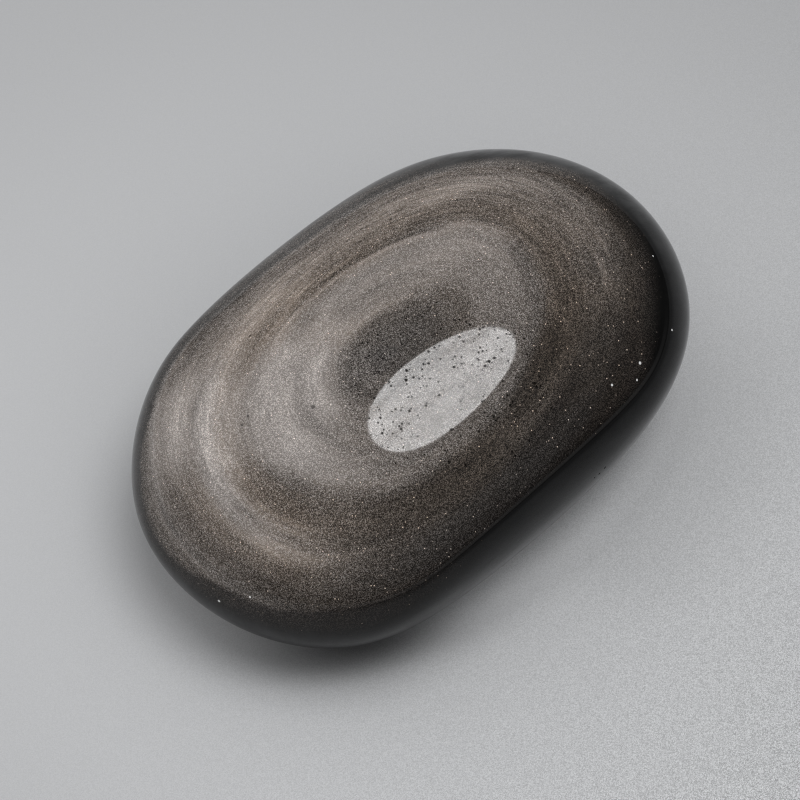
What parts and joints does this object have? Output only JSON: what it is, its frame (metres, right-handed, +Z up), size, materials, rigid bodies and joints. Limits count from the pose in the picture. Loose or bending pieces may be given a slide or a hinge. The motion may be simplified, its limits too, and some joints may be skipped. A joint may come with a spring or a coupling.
{
  "type": "tumbled obsidian stone",
  "caption": "Smooth oval tumbled stone of silver sheen obsidian, dark volcanic glass with soft grey sheen bands, resting on its flattened belly.",
  "frame": {"origin": "under the middle of the stone's box, on the surface that it rests on", "axes": "+X along the stone towards its blunt end, +Y across it, +Z up through its thin way"},
  "size_m": [0.042, 0.0276, 0.0149],
  "materials": {
    "polished_obsidian": "high polish over grey and brown sheen bands with a fine sparkle, fading to black glass at one end"
  },
  "bodies": {
    "root": {"stone": "polished_obsidian"}
  },
  "joints": []
}
